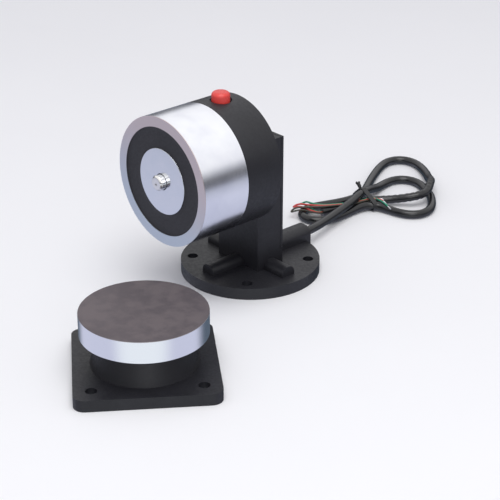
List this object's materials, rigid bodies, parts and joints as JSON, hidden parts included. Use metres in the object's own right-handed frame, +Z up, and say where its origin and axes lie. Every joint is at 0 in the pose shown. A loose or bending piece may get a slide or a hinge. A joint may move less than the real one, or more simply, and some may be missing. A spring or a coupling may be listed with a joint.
{
  "type": "magnetic door holder",
  "caption": "Floor-standing electromagnetic door holder with a round magnet head, release button and folded cable, and its separate tilting keeper plate.",
  "frame": {"origin": "centre of the floor flange's underside, on the floor", "axes": "+Z up along the stand's column, -Y the way the magnet faces, +Y the way the cable leaves"},
  "size_m": [0.1678, 0.3757, 0.1208],
  "materials": {
    "stand_black": "satin",
    "housing_black": "satin",
    "keeper_black": "satin",
    "pot_plated": "satin",
    "pole_plated": "satin",
    "potting_black": "matte",
    "winding_copper": "satin",
    "bobbin_nylon": "matte",
    "button_red": "satin",
    "switch_black": "matte",
    "board_green": "satin",
    "screws_steel": "satin",
    "pin_steel": "polished",
    "springs_steel": "satin",
    "disc_steel": "satin",
    "rubber_black": "matte",
    "jacket_black": "gloss",
    "tie_black": "matte",
    "wire_red": "satin",
    "wire_green": "satin",
    "wire_black": "satin"
  },
  "bodies": {
    "holder": {"floor_stand": "stand_black", "rear_cover": "stand_black", "barrel_housing": "housing_black", "magnet_pot": "pot_plated", "pole_core": "pole_plated", "potting_ring": "potting_black", "coil_winding": "winding_copper", "coil_bobbin": "bobbin_nylon", "switch_body": "switch_black", "terminal_block": "switch_black", "surge_absorber": "switch_black", "circuit_board": "board_green", "cover_screw_1": "screws_steel", "cover_screw_2": "screws_steel", "cover_screw_3": "screws_steel", "cover_screw_4": "screws_steel", "magnet_screw_1": "screws_steel", "magnet_screw_2": "screws_steel", "magnet_screw_3": "screws_steel", "magnet_screw_4": "screws_steel", "board_screw_1": "screws_steel", "board_screw_2": "screws_steel", "clamp_screw_1": "screws_steel", "clamp_screw_2": "screws_steel", "cable_clamp": "screws_steel", "ejector_plug": "screws_steel", "ejector_spring": "springs_steel", "button_spring": "springs_steel", "cable_bush": "rubber_black", "cable_tail": "jacket_black", "supply_cable": "jacket_black", "cable_hank": "jacket_black", "cable_tie": "tie_black", "wire_red": "wire_red", "core_red": "wire_red", "coil_lead_1": "wire_red", "coil_lead_2": "wire_red", "wire_green": "wire_green", "core_green": "wire_green", "wire_black": "wire_black", "core_black": "wire_black"},
    "release_button": {"button_cap": "button_red", "button_stem": "switch_black"},
    "ejector": {"ejector_pin": "pin_steel"},
    "keeper": {"keeper_base": "keeper_black", "buffer_ring": "rubber_black", "socket_cap": "screws_steel", "cap_screw_1": "screws_steel", "cap_screw_2": "screws_steel", "cap_screw_3": "screws_steel"},
    "seat": {"ball_seat": "bobbin_nylon"},
    "stud": {"ball_stud": "pin_steel"},
    "armature": {"armature_disc": "disc_steel"}
  },
  "joints": [
    {"name": "button_press", "type": "slide", "parent": "holder", "child": "release_button", "axis": [0, 0, -1], "range_m": [0, 0.003], "stiffness_N_per_m": 900, "springref_m": -0.003, "deforming": ["button_spring"]},
    {"name": "ejector_press", "type": "slide", "parent": "holder", "child": "ejector", "axis": [0, 1, 0], "range_m": [0, 0.0038], "stiffness_N_per_m": 1500, "springref_m": -0.002, "deforming": ["ejector_spring"]},
    {"name": "keeper_lift", "type": "slide", "parent": "holder", "child": "keeper", "axis": [0, 0, 1], "range_m": [0, 0.12]},
    {"name": "keeper_tilt_x", "type": "hinge", "parent": "keeper", "child": "seat", "pos_m": [0.0558, -0.1266, 0.014], "axis": [0.5835, 0.8121, 0], "range_deg": [-5, 5]},
    {"name": "keeper_tilt_y", "type": "hinge", "parent": "seat", "child": "stud", "pos_m": [0.0558, -0.1266, 0.014], "axis": [-0.8121, 0.5835, 0], "range_deg": [-5, 5]},
    {"name": "disc_spin", "type": "hinge", "parent": "stud", "child": "armature", "pos_m": [0.0558, -0.1266, 0.014], "axis": [0, 0, 1], "continuous": true}
  ]
}
